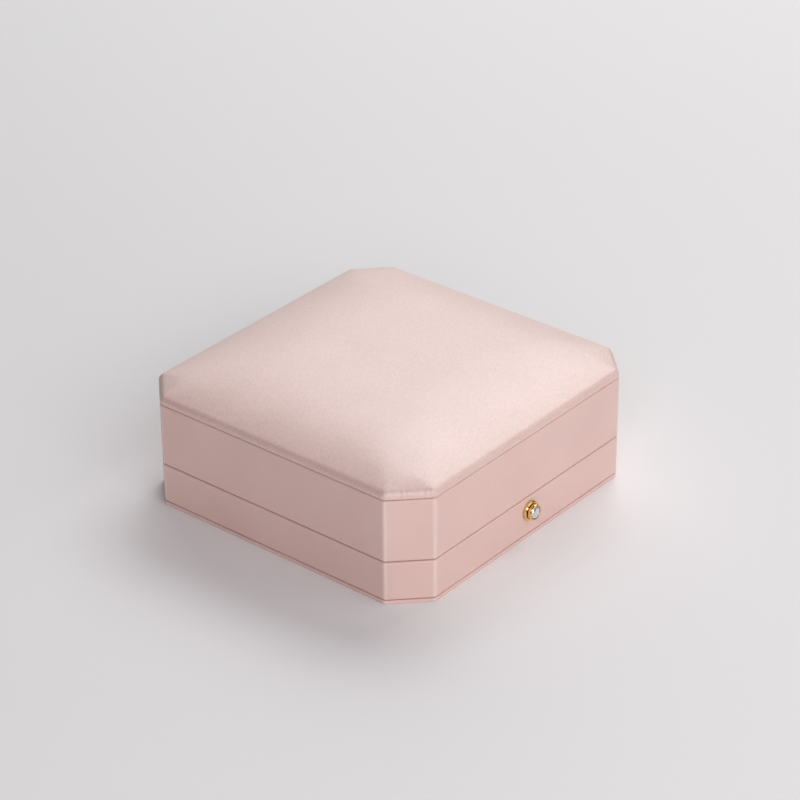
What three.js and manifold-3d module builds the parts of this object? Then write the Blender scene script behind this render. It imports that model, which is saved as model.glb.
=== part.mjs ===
// An octagonal jewelry box: a leatherette covered base and lid that meet at a seam, a padded top,
// a hinge across the back and a push-button latch with a crystal in the front wall.
// Millimetres, +Z up. The origin is the centre of the underside, the front faces -Y.

import * as THREE from "three";
import { mergeVertices } from "three/addons/utils/BufferGeometryUtils.js";
import Module from "manifold-3d";

const wasm = await Module();
wasm.setup();

// Overall sizes
const WIDTH = 100; // wall to wall along X
const DEPTH = 98; // wall to wall along Y
const CHAMFER = 9.5; // how far each corner is cut back along both walls
const SEAM_Z = 13.1; // height of the seam between base and lid
const LID_WALL_TOP = 31.85; // where the lid's wall ends under the padded top
const CROWN = 6.4; // how far the padded top rises above the seam below it
const CORNER_RADIUS = 1.1; // rounding of the eight upright edges

// Layers of the wall, from the outside in
const SKIN = 0.7; // leatherette
const SHELL = 2.2; // moulded wall
const LINING = 0.6; // velvet band
const GAP = 0.3; // clearance between pieces that are glued or rest together
const SEAT = 0.15; // clearance under the heads of metal fittings
const SEAM = 0.36; // open line between the base's rim and the lid's rim
const FOLD_RADIUS = 0.45; // rounding of a folded leatherette edge

// Boards, floors and pads
const BOTTOM_BOARD = 1.05; // covered board under the base
const BOARD_EDGE = 0.3; // rounding of the covered board's edges
const FLOOR = 1.6; // floor of the base and ceiling of the lid
const TOP_BOARD = 1.0; // stiff board that carries the padded top
const INSERT_BOARD = 1.0; // stiff board under the velvet insert
const INSERT_EDGE = 2.6; // height of the insert's padding at its rim
const INSERT_CROWN = 3.4; // and at its middle
const LID_PAD_EDGE = 1.8; // thickness of the satin pad in the lid at its rim
const LID_PAD_CROWN = 2.6; // and at its middle
const PAD_FOOT = 0.8; // upright edge of the padded top under its rounding
const PAD_RIM = 1.3; // rounding of the padded top's outer edge
const LEAST_RIM = 0.3; // tightest rounding of a layer inside the padded top
const PAD_RUN = 30; // distance from the edge over which the padded top rises
const PAD_FULLNESS = 3.4; // how much sooner the padded top rises near its edge than further in
const SMALL_PAD_RIM = 0.9; // rounding of the two inner pads
const SMALL_PAD_RUN = 16; // distance over which the inner pads rise
const SMALL_PAD_FULLNESS = 2;

// Push button
const BUTTON_DROP = 4.4; // button centre below the seam
const FLANGE_RADIUS = 2.95;
const FLANGE_THICKNESS = 0.85;
const SLEEVE_RADIUS = 2.75;
const SLEEVE_CLEARANCE = 0.15;
const CUP_RADIUS = 2.3;
const CUP_CLEARANCE = 0.1;
const CUP_LENGTH = 1.0;
const CUP_REST = 0.25; // how far the cup's back stands off the flange at rest
const CRYSTAL_RADIUS = 1.85;
const CRYSTAL_RISE = 0.55; // how far the crystal stands out of its cup
const CRYSTAL_SINK = 0.45; // depth of the recess that holds it
const CRYSTAL_BED = 0.1; // clearance behind it in the recess
const STEM_RADIUS = 1.35;
const STEM_CLEARANCE = 0.1;
const BUTTON_TRAVEL = 1.0;

// Latch: lock case in the base, strike plate in the lid
const SHEET = 0.5; // thickness of the pressed sheet fittings
const LOCK_HALF_WIDTH = 9;
const TUB_HALF_WIDTH = 5;
const TUB_BELOW_STEM = 3.3; // from the stem's axis to the floor of the lock case
const LOCK_BELOW_RIM = 0.35; // top of the lock case under the base's rim
const RIVET_SPREAD = 7.2; // lock and strike rivets either side of the middle
const TONGUE_STANDOFF = 0.8; // strike tongue behind the lock's mounting plate
const TONGUE_THICKNESS = 0.6;
const TONGUE_HALF_WIDTH = 2.5;
const TONGUE_OVER_STEM = 0.85; // tongue's tip above the stem
const STRIKE_RISE = 2; // bend of the strike plate above the lid's rim
const STRIKE_HEIGHT = 7; // upright part of the strike plate
const WINDOW_HALF_WIDTH = 1.4;
const WINDOW_HEIGHT = 1.0;
const WINDOW_SILL = 0.6; // metal left under the window
const NOSE_CLEARANCE = 0.3; // around the latch's nose, and between nose and tongue
const NOSE_LENGTH = 0.7;
const LATCH_THICKNESS = 0.8;
const LATCH_HALF_WIDTH = 3.6;
const CLIP_RADIUS = 2.05;
const CLIP_THICKNESS = 0.4;
const CLIP_GAP = 0.1;
const STEM_TAIL = 0.3; // stem beyond the clip
const SPRING_SPACE = 3.2; // between the latch and the back of the lock case
const SPRING_RADIUS = 2.45; // to the middle of the wire
const SPRING_WIRE = 0.36;
const SPRING_TURNS = 4;
const SPRING_END_GAP = 0.12;

// Hinge
const HINGE_LENGTH = 30;
const KNUCKLES = 5; // the first, third and fifth belong to the base
const KNUCKLE_GAP = 0.3;
const KNUCKLE_RADIUS = 1.3;
const PIN_RADIUS = 0.6;
const PIN_CLEARANCE = 0.06;
const PIN_HEAD_RADIUS = 0.95;
const PIN_HEAD = 0.4;
const AXIS_BEHIND_WALL = 0.5; // hinge axis outside the back wall
const LEAF_HALF_GAP = 0.2; // half the space between the two leaves
const LEAF_HEIGHT = 5.6; // upright part of each leaf
const HINGE_RIVET_SPREAD = 10;

// Rivets
const RIVET_RADIUS = 0.8;
const RIVET_HEAD_RADIUS = 1.15;
const RIVET_HEAD = 0.6;
const RIVET_CLEARANCE = 0.15;
const RIVET_END_GAP = 0.2; // rivet's tip short of the shell's outer face

// Levels that follow from the sizes above
const BASE_BOTTOM = BOTTOM_BOARD + GAP;
const BASE_TOP = SEAM_Z - SEAM / 2;
const LID_BOTTOM = SEAM_Z + SEAM / 2;
const FLOOR_TOP = BASE_BOTTOM + FLOOR;
const CEILING = LID_WALL_TOP - FLOOR;
const PAD_BOTTOM = LID_WALL_TOP + GAP;

// Distances in from the outer wall face
const IN_SHELL = SKIN + GAP;
const IN_CAVITY = IN_SHELL + SHELL;
const IN_LINING = IN_CAVITY + GAP;
const IN_LINED = IN_LINING + LINING;
const IN_PADS = IN_LINED + GAP;

const FRONT = -DEPTH / 2;
const BACK = DEPTH / 2;
const BUTTON_Z = SEAM_Z - BUTTON_DROP;
const AXIS_Y = BACK + AXIS_BEHIND_WALL;

// Stations along Y behind the front wall
const PLATE_Y = FRONT + IN_CAVITY + GAP;
const PLATE_BACK_Y = PLATE_Y + SHEET;
const TONGUE_Y = PLATE_BACK_Y + TONGUE_STANDOFF;
const TONGUE_BACK_Y = TONGUE_Y + TONGUE_THICKNESS;
const NOSE_Y = TONGUE_BACK_Y + NOSE_CLEARANCE;
const LATCH_Y = NOSE_Y + NOSE_LENGTH;
const LATCH_BACK_Y = LATCH_Y + LATCH_THICKNESS;
const CLIP_Y = LATCH_BACK_Y + CLIP_GAP;
const TUB_END_Y = LATCH_BACK_Y + SPRING_SPACE;
const FLANGE_Y = FRONT - SEAT - FLANGE_THICKNESS;
const CUP_BACK_Y = FLANGE_Y - CUP_REST;
const CUP_FRONT_Y = CUP_BACK_Y - CUP_LENGTH;

const TONGUE_TIP_Z = BUTTON_Z + STEM_RADIUS + TONGUE_OVER_STEM;
const WINDOW_Z = TONGUE_TIP_Z + WINDOW_SILL;
const TUB_FLOOR_Z = BUTTON_Z - TUB_BELOW_STEM;
const LOCK_TOP_Z = BASE_TOP - LOCK_BELOW_RIM;

const FAR = WIDTH + DEPTH; // longer than anything, for cuts that run right through

const FINISHES = {
  leatherette: { color: 0xe2c3bb, roughness: 0.45, metalness: 0 },
  velvet: { color: 0xe9dcd6, roughness: 0.95, metalness: 0 },
  satin: { color: 0xefe2dc, roughness: 0.4, metalness: 0 },
  moulding: { color: 0xcfc7c1, roughness: 0.7, metalness: 0 },
  board: { color: 0xb9aea4, roughness: 0.9, metalness: 0 },
  foam: { color: 0xf1eee6, roughness: 1, metalness: 0 },
  gold: { color: 0xd8a54a, roughness: 0.18, metalness: 1 },
  steel: { color: 0xb8babd, roughness: 0.35, metalness: 1 },
  crystal: { color: 0xf4f7fa, roughness: 0.02, metalness: 0 },
};

// A closed three.js geometry as a solid that can be joined and cut.
function solid(geometry) {
  const bare = geometry.clone();
  bare.deleteAttribute("normal");
  bare.deleteAttribute("uv");
  const merged = mergeVertices(bare, 1e-5);
  const corners = merged.index.array;
  const triangles = [];
  for (let i = 0; i < corners.length; i += 3) {
    const [a, b, c] = [corners[i], corners[i + 1], corners[i + 2]];
    if (a !== b && b !== c && c !== a) {
      triangles.push(a, b, c);
    }
  }
  return new wasm.Manifold(
    new wasm.Mesh({
      numProp: 3,
      vertProperties: new Float32Array(merged.attributes.position.array),
      triVerts: new Uint32Array(triangles),
    }),
  );
}

function join(pieces) {
  return pieces.reduce((whole, piece) => whole.add(piece));
}

function cut(body, tools) {
  return tools.reduce((rest, tool) => rest.subtract(tool), body);
}

// A solid as a named mesh with its finish.
function node(name, finish, body) {
  const { vertProperties, triVerts } = body.getMesh();
  const geometry = new THREE.BufferGeometry();
  geometry.setAttribute("position", new THREE.BufferAttribute(new Float32Array(vertProperties), 3));
  geometry.setIndex(new THREE.BufferAttribute(new Uint32Array(triVerts), 1));
  geometry.computeVertexNormals();
  const mesh = new THREE.Mesh(geometry, new THREE.MeshStandardMaterial(FINISHES[finish]));
  mesh.name = name;
  return mesh;
}

// Box between two corners.
function block([x0, x1], [y0, y1], [z0, z1]) {
  const box = new THREE.BoxGeometry(x1 - x0, y1 - y0, z1 - z0);
  box.translate((x0 + x1) / 2, (y0 + y1) / 2, (z0 + z1) / 2);
  return solid(box);
}

// Round bar along X.
function barX(radius, [x0, x1], y, z, sides = 24) {
  const bar = new THREE.CylinderGeometry(radius, radius, x1 - x0, sides);
  bar.rotateZ(Math.PI / 2);
  bar.translate((x0 + x1) / 2, y, z);
  return solid(bar);
}

// Round bar along Y.
function barY(radius, x, [y0, y1], z, sides = 24) {
  const bar = new THREE.CylinderGeometry(radius, radius, y1 - y0, sides);
  bar.translate(x, (y0 + y1) / 2, z);
  return solid(bar);
}

// Turned piece from a profile of [radius, height], its axis laid along Y from faceY.
// direction is the way that the profile's heights run: -1 towards the front, 1 towards the back.
function turnedY(profile, x, faceY, z, direction, sides = 32) {
  const points = profile.map(([radius, height]) => new THREE.Vector2(radius, height));
  const lathe = new THREE.LatheGeometry(points, sides);
  if (direction < 0) {
    lathe.rotateX(Math.PI);
  }
  lathe.translate(x, faceY, z);
  return solid(lathe);
}

// Centres of the eight corners of the octagon that lies inset from the outer wall, each with
// the direction in which its corner starts to turn.
function octagonCorners(inset) {
  const halfX = WIDTH / 2 - inset;
  const halfY = DEPTH / 2 - inset;
  const setback = CHAMFER - inset * (2 - Math.SQRT2);
  const quarter = [
    [halfX, halfY - setback],
    [halfX - setback, halfY],
  ];
  const signs = [
    [1, 1],
    [-1, 1],
    [-1, -1],
    [1, -1],
  ];
  return signs.flatMap(([sx, sy], quadrant) => {
    const pair = sx * sy > 0 ? quarter : [...quarter].reverse();
    return pair.map(([x, y], i) => ({
      x: sx * x,
      y: sy * y,
      turn: (quadrant * 2 + i) * (Math.PI / 4),
    }));
  });
}

function cornerRadius(inset) {
  return Math.max(CORNER_RADIUS - inset, 0.35);
}

// The box's plan outline, inset from the outer wall, with rounded corners.
function octagon(inset) {
  const radius = cornerRadius(inset);
  const shape = new THREE.Shape();
  for (const { x, y, turn } of octagonCorners(inset + radius)) {
    shape.absarc(x, y, radius, turn, turn + Math.PI / 4);
  }
  shape.closePath();
  return shape;
}

// Upright prism of the box's outline between two heights, its rims rounded by edge.
function prism(inset, [z0, z1], edge = 0) {
  const geometry = new THREE.ExtrudeGeometry(octagon(inset), {
    depth: z1 - z0 - 2 * edge,
    curveSegments: 2,
    bevelEnabled: edge > 0,
    bevelThickness: edge,
    bevelSize: edge,
    bevelOffset: -edge,
    bevelSegments: 3,
  });
  geometry.translate(0, 0, z0 + edge);
  return solid(geometry);
}

// Points around the outline at an inset, the same number at every inset.
function contour(inset, radius) {
  const cornerSteps = 3;
  const sideSteps = 5;
  const arcs = octagonCorners(inset + radius).map(({ x, y, turn }) => {
    const arc = new THREE.EllipseCurve(x, y, radius, radius, turn, turn + Math.PI / 4);
    return arc.getPoints(cornerSteps);
  });
  return arcs.flatMap((arc, i) => {
    const next = arcs[(i + 1) % arcs.length][0];
    const last = arc[cornerSteps];
    const side = [];
    for (let k = 1; k < sideSteps; k += 1) {
      side.push(last.clone().lerp(next, k / sideSteps));
    }
    return [...arc, ...side];
  });
}

// Height of a stuffed surface at a distance in from its edge: a rounded rim, then a long rise.
function swell(distance, rim, crown, run, fullness) {
  const round = Math.max(0, 1 - distance / rim);
  const rise = Math.max(0, 1 - distance / run);
  return rim * Math.sqrt(1 - round * round) + (crown - rim) * (1 - rise ** fullness);
}

// Cushion over the box's outline: flat underside at z 0, rounded rim, domed top.
function cushion(inset, { foot, rim, crown, run, fullness }) {
  const rings = [
    { ring: contour(inset, cornerRadius(inset)), height: 0, scale: 0 },
    { ring: contour(inset, cornerRadius(inset)), height: 0, scale: 1 },
  ];
  const steps = [0, 0.06, 0.25, 0.55, 1].map((share) => share * rim);
  steps.push(rim + 1.2, rim + 3.2, rim + 6);
  for (const step of steps) {
    const soft = cornerRadius(inset) + 0.8 * step;
    const height = foot + swell(step, rim, crown - foot, run, fullness);
    rings.push({ ring: contour(inset + step, soft), height, scale: 1 });
  }
  const innermost = rings.at(-1).ring;
  const reach = WIDTH / 2 - inset - rim - 6;
  for (const scale of [0.9, 0.8, 0.6, 0.35, 0]) {
    const step = rim + 6 + (1 - scale) * reach;
    const height = foot + swell(step, rim, crown - foot, run, fullness);
    rings.push({ ring: innermost, height, scale });
  }
  const profile = rings.map(({ height, scale }) => new THREE.Vector2(scale, height));
  const count = innermost.length;
  const lathe = new THREE.LatheGeometry(profile, count);
  lathe.rotateX(Math.PI / 2);
  const position = lathe.attributes.position;
  for (let i = 0; i <= count; i += 1) {
    rings.forEach(({ ring, height, scale }, j) => {
      const point = ring[i % count];
      position.setXYZ(i * rings.length + j, point.x * scale, point.y * scale, height);
    });
  }
  return solid(lathe);
}

// Hollow for the hinge across the back wall: round the knuckles and between the rims.
function hingeNotch() {
  const half = HINGE_LENGTH / 2 + PIN_HEAD + GAP;
  const reach = LEAF_HALF_GAP + SHEET + GAP;
  return join([
    barX(KNUCKLE_RADIUS + GAP, [-half, half], AXIS_Y, SEAM_Z),
    block([-half, half], [BACK - IN_PADS, AXIS_Y], [SEAM_Z - reach, SEAM_Z + reach]),
  ]);
}

// Cutout in a lining where a fitting lies on the wall: side is -1 at the front, 1 at the back.
function liningCutout(side, halfWidth, levels) {
  const wallIn = side * (DEPTH / 2 - IN_CAVITY);
  const lined = side * (DEPTH / 2 - IN_PADS);
  const wall = [Math.min(wallIn, lined), Math.max(wallIn, lined)];
  return block([-halfWidth - GAP, halfWidth + GAP], wall, levels);
}

// Holes through the shell for the rivets of a fitting on the front or the back wall.
function rivetHoles(side, spread, z) {
  const ends = [side * (DEPTH / 2 - IN_CAVITY - 1), side * (DEPTH / 2)].sort((a, b) => a - b);
  return [-spread, spread].map((x) => barY(RIVET_RADIUS + RIVET_CLEARANCE, x, ends, z, 16));
}

const LOCK_RIVET_Z = BUTTON_Z;
const STRIKE_RIVET_Z = LID_BOTTOM + STRIKE_RISE + STRIKE_HEIGHT * 0.55;
const LEAF_REACH = LEAF_HALF_GAP + LEAF_HEIGHT;
const LEAF_RIVET_OFFSET = LEAF_HALF_GAP + LEAF_HEIGHT * 0.55;

// Base

function bottomBoard() {
  return node("bottom_board", "leatherette", prism(0.05, [0, BOTTOM_BOARD], BOARD_EDGE));
}

// Room for the lock case in the base's floor and in the insert, for when the case reaches down to them.
function lockRoom() {
  const half = LOCK_HALF_WIDTH + GAP;
  const along = [PLATE_Y - GAP, TUB_END_Y + SHEET + GAP];
  return block([-half, half], along, [TUB_FLOOR_Z - SHEET - GAP, BASE_TOP + 1]);
}

function baseShell() {
  const outer = prism(IN_SHELL, [BASE_BOTTOM, BASE_TOP - SKIN - GAP]);
  const cavity = prism(IN_CAVITY, [FLOOR_TOP, BASE_TOP]);
  const sleeveHole = barY(SLEEVE_RADIUS + SLEEVE_CLEARANCE, 0, [FRONT, PLATE_Y], BUTTON_Z);
  const holes = [
    ...rivetHoles(-1, RIVET_SPREAD, LOCK_RIVET_Z),
    ...rivetHoles(1, HINGE_RIVET_SPREAD, SEAM_Z - LEAF_RIVET_OFFSET),
  ];
  return node("base_shell", "moulding", cut(outer, [cavity, lockRoom(), sleeveHole, hingeNotch(), ...holes]));
}

// Leatherette band round the base, folded in over the rim.
function baseWrap() {
  const outer = prism(0, [BASE_BOTTOM, BASE_TOP], FOLD_RADIUS);
  const behind = prism(SKIN, [-1, BASE_TOP - SKIN]);
  const mouth = prism(IN_CAVITY, [-1, BASE_TOP + 1]);
  const sleeveHole = barY(SLEEVE_RADIUS + SLEEVE_CLEARANCE, 0, [FRONT - 1, PLATE_Y], BUTTON_Z);
  return node("base_wrap", "leatherette", cut(outer, [behind, mouth, sleeveHole, hingeNotch()]));
}

// Velvet band inside the base's wall, open where the lock and the hinge lie on the wall.
function baseLining() {
  const outer = prism(IN_LINING, [FLOOR_TOP + GAP, BASE_TOP]);
  const inner = prism(IN_LINED, [0, BASE_TOP + 1]);
  const lockGap = liningCutout(-1, LOCK_HALF_WIDTH, [TUB_FLOOR_Z - SHEET - GAP, BASE_TOP + 1]);
  const hingeGap = liningCutout(1, HINGE_LENGTH / 2, [SEAM_Z - LEAF_REACH - GAP, BASE_TOP + 1]);
  return node("base_lining", "velvet", cut(outer, [inner, lockGap, hingeGap]));
}

function insertBoard() {
  const z0 = FLOOR_TOP + GAP;
  return node("insert_board", "board", cut(prism(IN_PADS, [z0, z0 + INSERT_BOARD]), [lockRoom()]));
}

// Velvet covered foam that the jewelry lies on, notched round the lock case.
function insertPad() {
  const pad = cushion(IN_PADS, {
    foot: INSERT_EDGE - SMALL_PAD_RIM,
    rim: SMALL_PAD_RIM,
    crown: INSERT_CROWN,
    run: SMALL_PAD_RUN,
    fullness: SMALL_PAD_FULLNESS,
  }).translate([0, 0, FLOOR_TOP + GAP + INSERT_BOARD + GAP]);
  const half = LOCK_HALF_WIDTH + GAP;
  const notch = block([-half, half], [FRONT, TUB_END_Y + SHEET + GAP], [0, BASE_TOP]);
  return node("insert_pad", "velvet", cut(pad, [notch]));
}

// Lid

function lidShell() {
  const outer = prism(IN_SHELL, [LID_BOTTOM + SKIN + GAP, LID_WALL_TOP]);
  const cavity = prism(IN_CAVITY, [LID_BOTTOM, CEILING]);
  const holes = [
    ...rivetHoles(-1, RIVET_SPREAD, STRIKE_RIVET_Z),
    ...rivetHoles(1, HINGE_RIVET_SPREAD, SEAM_Z + LEAF_RIVET_OFFSET),
  ];
  return node("lid_shell", "moulding", cut(outer, [cavity, hingeNotch(), ...holes]));
}

// Leatherette band round the lid, folded in over the rim.
function lidWrap() {
  const outer = prism(0, [LID_BOTTOM, LID_WALL_TOP], FOLD_RADIUS);
  const behind = prism(SKIN, [LID_BOTTOM + SKIN, LID_WALL_TOP + 1]);
  const mouth = prism(IN_CAVITY, [LID_BOTTOM - 1, LID_WALL_TOP]);
  return node("lid_wrap", "leatherette", cut(outer, [behind, mouth, hingeNotch()]));
}

// Velvet band inside the lid's wall, open where the strike plate and the hinge lie on the wall.
function lidLining() {
  const outer = prism(IN_LINING, [LID_BOTTOM, CEILING - GAP]);
  const inner = prism(IN_LINED, [0, LID_WALL_TOP]);
  const strikeTop = LID_BOTTOM + STRIKE_RISE + STRIKE_HEIGHT;
  const strikeGap = liningCutout(-1, LOCK_HALF_WIDTH, [0, strikeTop + GAP]);
  const hingeGap = liningCutout(1, HINGE_LENGTH / 2, [0, SEAM_Z + LEAF_REACH + GAP]);
  return node("lid_lining", "velvet", cut(outer, [inner, strikeGap, hingeGap]));
}

// Satin covered pad under the lid's ceiling, its domed side down.
function lidInnerPad() {
  const pad = cushion(IN_PADS, {
    foot: LID_PAD_EDGE - SMALL_PAD_RIM,
    rim: SMALL_PAD_RIM,
    crown: LID_PAD_CROWN,
    run: SMALL_PAD_RUN,
    fullness: SMALL_PAD_FULLNESS,
  });
  return node("lid_inner_pad", "satin", pad.rotate([180, 0, 0]).translate([0, 0, CEILING - GAP]));
}

function topBoard() {
  return node("top_board", "board", prism(IN_SHELL, [PAD_BOTTOM, PAD_BOTTOM + TOP_BOARD]));
}

// The padded top's shape at a depth under its outer surface, standing on z 0.
function paddedTop(depth) {
  return cushion(depth, {
    foot: PAD_FOOT,
    rim: Math.max(PAD_RIM - depth, LEAST_RIM),
    crown: CROWN - depth,
    run: PAD_RUN,
    fullness: PAD_FULLNESS,
  });
}

// Foam between the top board and the leatherette, following the padded top inside its skin.
function topFoam() {
  const below = block([-FAR, FAR], [-FAR, FAR], [-1, TOP_BOARD + GAP]);
  return node("top_foam", "foam", cut(paddedTop(IN_SHELL), [below]).translate([0, 0, PAD_BOTTOM]));
}

// Leatherette skin of the padded top, open underneath where the board closes it.
function topCover() {
  const mouth = prism(SKIN, [-1, PAD_FOOT / 2]);
  const skin = cut(paddedTop(0), [paddedTop(SKIN), mouth]);
  return node("top_cover", "leatherette", skin.translate([0, 0, PAD_BOTTOM]));
}

// Fasteners

// Domed rivet through a fitting on the front (side -1) or back (side 1) wall, head inwards.
function rivet(name, x, z, side, finish) {
  const length = SHEET + GAP + SHELL - RIVET_END_GAP;
  const top = SEAT + RIVET_HEAD;
  const profile = [
    [0, -length],
    [RIVET_RADIUS, -length],
    [RIVET_RADIUS, SEAT],
    [RIVET_HEAD_RADIUS, SEAT],
    [RIVET_HEAD_RADIUS * 0.9, SEAT + RIVET_HEAD * 0.5],
    [RIVET_HEAD_RADIUS * 0.55, SEAT + RIVET_HEAD * 0.88],
    [0, top],
  ];
  const faceY = side * (DEPTH / 2 - IN_CAVITY - GAP - SHEET);
  return node(name, finish, turnedY(profile, x, faceY, z, -side, 20));
}

function pair(stem, spread, z, side, finish) {
  return [
    rivet(`${stem}_left`, -spread, z, side, finish),
    rivet(`${stem}_right`, spread, z, side, finish),
  ];
}

// Push button and latch

// Gold flange with a sleeve through the front wall and the lock case's plate.
function buttonBezel() {
  const counterbore = CUP_RADIUS + CUP_CLEARANCE;
  const pocket = BUTTON_TRAVEL - CUP_REST + GAP;
  const bore = STEM_RADIUS + STEM_CLEARANCE;
  const wall = SEAT + IN_CAVITY + GAP + SHEET + SEAT;
  const profile = [
    [bore, -wall],
    [SLEEVE_RADIUS, -wall],
    [SLEEVE_RADIUS, 0],
    [FLANGE_RADIUS, 0],
    [FLANGE_RADIUS, FLANGE_THICKNESS * 0.35],
    [FLANGE_RADIUS - 0.08, FLANGE_THICKNESS * 0.72],
    [FLANGE_RADIUS - 0.26, FLANGE_THICKNESS],
    [counterbore, FLANGE_THICKNESS],
    [counterbore, FLANGE_THICKNESS - pocket],
    [bore, FLANGE_THICKNESS - pocket],
    [bore, -wall],
  ];
  return node("button_bezel", "gold", turnedY(profile, 0, FRONT - SEAT, BUTTON_Z, -1, 40));
}

// Gold push button: a cup for the crystal on a stem that carries the latch.
function buttonPlunger() {
  const stem = CLIP_Y + CLIP_THICKNESS + STEM_TAIL - CUP_BACK_Y;
  const recess = CRYSTAL_RADIUS + 0.12;
  const profile = [
    [0, -stem],
    [STEM_RADIUS, -stem],
    [STEM_RADIUS, 0],
    [CUP_RADIUS, 0],
    [CUP_RADIUS, CUP_LENGTH * 0.62],
    [CUP_RADIUS - 0.1, CUP_LENGTH * 0.88],
    [CUP_RADIUS - 0.24, CUP_LENGTH],
    [recess, CUP_LENGTH],
    [recess, CUP_LENGTH - CRYSTAL_SINK],
    [0, CUP_LENGTH - CRYSTAL_SINK],
  ];
  return node("button_plunger", "gold", turnedY(profile, 0, CUP_BACK_Y, BUTTON_Z, -1, 40));
}

// Faceted crystal in the cup: a flat back and a crown of triangular facets.
function buttonCrystal() {
  const back = CUP_FRONT_Y + CRYSTAL_SINK - CRYSTAL_BED;
  const height = CRYSTAL_SINK - CRYSTAL_BED + CRYSTAL_RISE;
  const gem = new THREE.IcosahedronGeometry(1, 1);
  gem.scale(CRYSTAL_RADIUS, height, CRYSTAL_RADIUS);
  gem.translate(0, back, BUTTON_Z);
  const front = block([-CUP_RADIUS, CUP_RADIUS], [back - 2 * height, back], [0, BASE_TOP]);
  return node("button_crystal", "crystal", solid(gem).intersect(front));
}

// Pressed steel case riveted behind the front wall: a plate with an open-topped tub.
function lockCase() {
  const plate = block(
    [-LOCK_HALF_WIDTH, LOCK_HALF_WIDTH],
    [PLATE_Y, PLATE_BACK_Y],
    [TUB_FLOOR_Z - SHEET, LOCK_TOP_Z],
  );
  const tub = block(
    [-TUB_HALF_WIDTH, TUB_HALF_WIDTH],
    [PLATE_Y, TUB_END_Y + SHEET],
    [TUB_FLOOR_Z - SHEET, LOCK_TOP_Z],
  );
  const room = block(
    [SHEET - TUB_HALF_WIDTH, TUB_HALF_WIDTH - SHEET],
    [PLATE_BACK_Y, TUB_END_Y],
    [TUB_FLOOR_Z, LOCK_TOP_Z + 1],
  );
  const sleeveHole = barY(SLEEVE_RADIUS + SLEEVE_CLEARANCE, 0, [PLATE_Y - 1, PLATE_BACK_Y + 0.01], BUTTON_Z);
  const holes = [-RIVET_SPREAD, RIVET_SPREAD].map((x) =>
    barY(RIVET_RADIUS + RIVET_CLEARANCE, x, [PLATE_Y - 1, PLATE_BACK_Y + 1], LOCK_RIVET_Z, 16),
  );
  return node("lock_case", "steel", cut(join([plate, tub]), [room, sleeveHole, ...holes]));
}

// Latch plate on the button's stem, with a nose at its top that faces the strike's window.
function latchPlate() {
  const noseZ = [WINDOW_Z + NOSE_CLEARANCE / 2, WINDOW_Z + WINDOW_HEIGHT - NOSE_CLEARANCE / 2];
  const plate = block(
    [-LATCH_HALF_WIDTH, LATCH_HALF_WIDTH],
    [LATCH_Y, LATCH_BACK_Y],
    [TUB_FLOOR_Z + GAP, noseZ[1]],
  );
  const noseHalf = WINDOW_HALF_WIDTH - NOSE_CLEARANCE;
  const nose = block([-noseHalf, noseHalf], [NOSE_Y, LATCH_BACK_Y], noseZ);
  const hole = barY(STEM_RADIUS + STEM_CLEARANCE, 0, [LATCH_Y - 1, LATCH_BACK_Y + 1], BUTTON_Z);
  return node("latch_plate", "steel", cut(join([plate, nose]), [hole]));
}

function latchClip() {
  const ring = barY(CLIP_RADIUS, 0, [CLIP_Y, CLIP_Y + CLIP_THICKNESS], BUTTON_Z);
  const hole = barY(STEM_RADIUS + STEM_CLEARANCE, 0, [CLIP_Y - 1, CLIP_Y + 1], BUTTON_Z);
  return node("latch_clip", "steel", cut(ring, [hole]));
}

// Centre line of the button's return spring, wound along Y.
class Coil extends THREE.Curve {
  getPoint(share, target = new THREE.Vector3()) {
    const angle = share * SPRING_TURNS * 2 * Math.PI;
    const start = LATCH_BACK_Y + SPRING_END_GAP + SPRING_WIRE / 2;
    const end = TUB_END_Y - SPRING_END_GAP - SPRING_WIRE / 2;
    return target.set(
      SPRING_RADIUS * Math.sin(angle),
      start + share * (end - start),
      BUTTON_Z + SPRING_RADIUS * Math.cos(angle),
    );
  }
}

function buttonSpring() {
  const wire = new THREE.Shape();
  wire.absarc(0, 0, SPRING_WIRE / 2, 0, 2 * Math.PI);
  const coil = new THREE.ExtrudeGeometry(wire, {
    steps: SPRING_TURNS * 18,
    curveSegments: 3,
    extrudePath: new Coil(),
    bevelEnabled: false,
  });
  return node("button_spring", "steel", solid(coil));
}

// Strike plate riveted behind the lid's front wall; its tongue hangs into the lock case.
function strikePlate() {
  const bend = LID_BOTTOM + STRIKE_RISE;
  const plate = block(
    [-LOCK_HALF_WIDTH, LOCK_HALF_WIDTH],
    [PLATE_Y, PLATE_BACK_Y],
    [bend, bend + STRIKE_HEIGHT],
  );
  const across = [-TONGUE_HALF_WIDTH, TONGUE_HALF_WIDTH];
  const shelf = block(across, [PLATE_Y, TONGUE_BACK_Y], [bend, bend + SHEET]);
  const tongue = block(
    [-TONGUE_HALF_WIDTH, TONGUE_HALF_WIDTH],
    [TONGUE_Y, TONGUE_BACK_Y],
    [TONGUE_TIP_Z, bend + SHEET],
  );
  const window = block(
    [-WINDOW_HALF_WIDTH, WINDOW_HALF_WIDTH],
    [TONGUE_Y - 1, TONGUE_BACK_Y + 1],
    [WINDOW_Z, WINDOW_Z + WINDOW_HEIGHT],
  );
  const holes = [-RIVET_SPREAD, RIVET_SPREAD].map((x) =>
    barY(RIVET_RADIUS + RIVET_CLEARANCE, x, [PLATE_Y - 1, PLATE_BACK_Y + 1], STRIKE_RIVET_Z, 16),
  );
  return node("strike_plate", "steel", cut(join([plate, shelf, tongue]), [window, ...holes]));
}

// Hinge

const KNUCKLE_PITCH = HINGE_LENGTH / KNUCKLES;

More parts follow.
